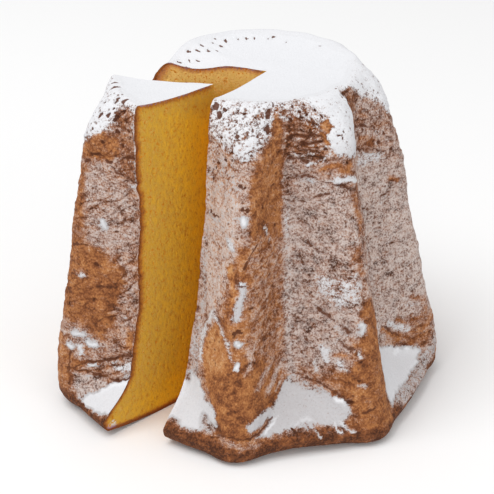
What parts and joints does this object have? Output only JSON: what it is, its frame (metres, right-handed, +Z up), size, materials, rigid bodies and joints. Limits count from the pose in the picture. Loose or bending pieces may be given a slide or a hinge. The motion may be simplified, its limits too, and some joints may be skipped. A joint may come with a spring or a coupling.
{
  "type": "pandoro",
  "caption": "Tall star-shaped sweet loaf dusted with icing sugar, standing on its wide end, with a wedge cut out and drawn a little way from its place.",
  "frame": {"origin": "on the table, under the middle of the loaf and its slice together", "axes": "+Z up, -Y towards the viewer of the picture, so that the slice lies at -X"},
  "size_m": [0.2314, 0.2347, 0.1978],
  "materials": {
    "sugared_crust": "brown baked crust dusted with icing sugar, over a golden crumb"
  },
  "bodies": {
    "root": {"loaf": "sugared_crust", "slice": "sugared_crust"}
  },
  "joints": []
}
